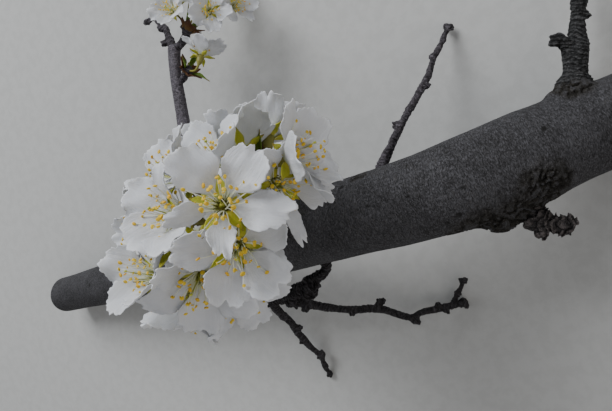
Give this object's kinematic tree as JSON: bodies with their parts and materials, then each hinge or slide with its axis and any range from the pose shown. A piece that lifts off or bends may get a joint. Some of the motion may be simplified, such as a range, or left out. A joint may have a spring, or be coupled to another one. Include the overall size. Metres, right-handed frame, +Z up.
{
  "type": "cut plum branch in blossom",
  "caption": "Cut plum branch in blossom: an arched bare limb with spurs, thin twigs and an upright shoot, and white open blooms in a dense cluster and at the shoot's tip.",
  "frame": {"origin": "middle of the branch's box, at the level of the floor that it lies on", "axes": "+X along the limb towards its thick sawn end, +Y towards the upright shoot and the bare twig, +Z up from the floor"},
  "size_m": [0.2648, 0.1658, 0.1167],
  "materials": {
    "bark": "matte grey-brown bark with fine cross wrinkles, small pale pores and dark rough collars",
    "twig_bark": "dark, knobbly, purplish-brown twig bark with ring scars, slightly satin on the young shoots",
    "blossom": "soft white petals, with yellow-green cups and stalks and yellow-orange anthers"
  },
  "bodies": {
    "root": {"limb": "bark", "collar_stub": "twig_bark", "collar_spur": "twig_bark", "bare_twig": "twig_bark", "lower_spur": "twig_bark", "lower_twig_right": "twig_bark", "lower_twig_tip": "twig_bark", "lower_twig_down": "twig_bark", "upright_shoot": "bark", "shoot_fork_left": "twig_bark", "shoot_fork_right": "twig_bark", "shoot_side_spur": "twig_bark", "flower_spur": "twig_bark", "flower_spur_upper": "twig_bark", "flower_spur_middle": "twig_bark", "flower_spur_lower": "twig_bark", "bloom_upper_1": "blossom", "bloom_upper_2": "blossom", "bloom_upper_3": "blossom", "bloom_upper_4": "blossom", "bloom_upper_5": "blossom", "bloom_upper_6": "blossom", "bloom_front_1": "blossom", "bloom_front_2": "blossom", "bloom_front_3": "blossom", "bloom_front_4": "blossom", "bloom_lower_1": "blossom", "bloom_lower_2": "blossom", "bloom_lower_3": "blossom", "bloom_lower_4": "blossom", "bloom_lower_5": "blossom", "bloom_lower_6": "blossom", "bloom_back_1": "blossom", "bloom_back_2": "blossom", "bloom_back_3": "blossom", "bloom_top_1": "blossom", "bloom_top_2": "blossom", "bloom_top_3": "blossom", "bloom_top_4": "blossom", "bloom_top_5": "blossom", "bloom_top_6": "blossom"}
  },
  "joints": []
}
